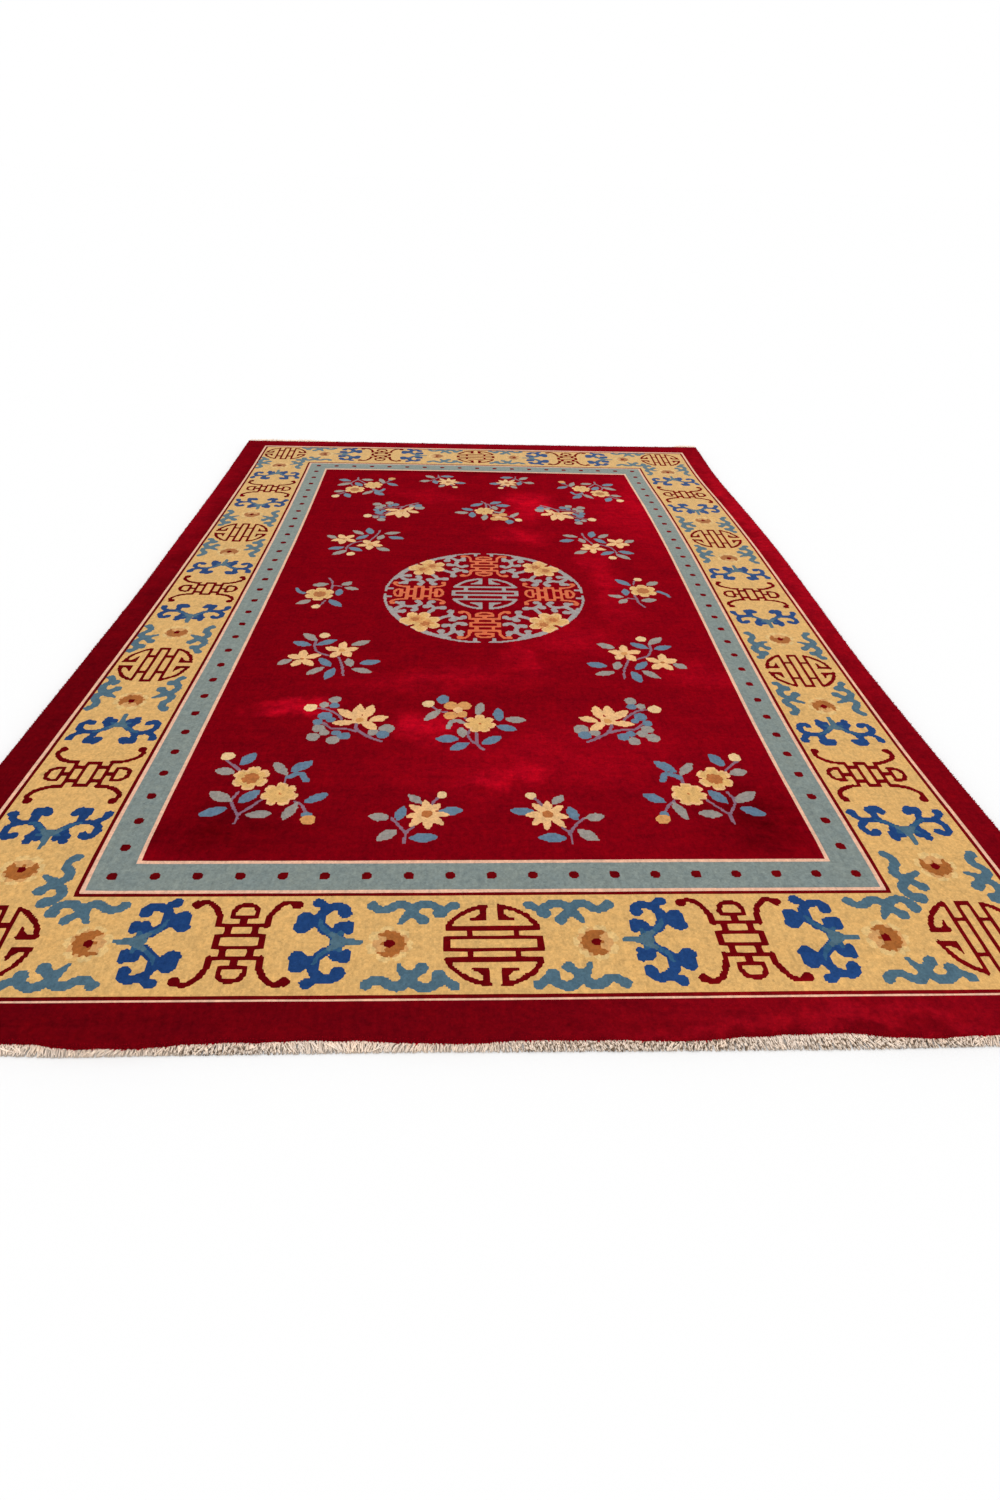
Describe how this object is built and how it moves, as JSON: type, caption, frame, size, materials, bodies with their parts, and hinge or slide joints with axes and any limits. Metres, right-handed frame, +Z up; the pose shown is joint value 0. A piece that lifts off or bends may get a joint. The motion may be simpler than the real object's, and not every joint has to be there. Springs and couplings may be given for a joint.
{
  "type": "tibetan rug",
  "caption": "Rectangular hand-knotted wool pile rug lying flat, deep red with a gold flower border, corner sprays and a round medallion, and a short cotton fringe at each end.",
  "frame": {"origin": "middle of the rug's outline, on the floor that it lies on", "axes": "+X across the rug to the right as seen from the near end, +Y along the rug to its far end, +Z up through the pile"},
  "size_m": [1.8276, 2.7962, 0.0141],
  "materials": {
    "wool_pile": "clipped wool pile",
    "cotton_fringe": "undyed twisted cotton"
  },
  "bodies": {
    "root": {"pile_carpet": "wool_pile", "fringe_near": "cotton_fringe", "fringe_far": "cotton_fringe"}
  },
  "joints": []
}
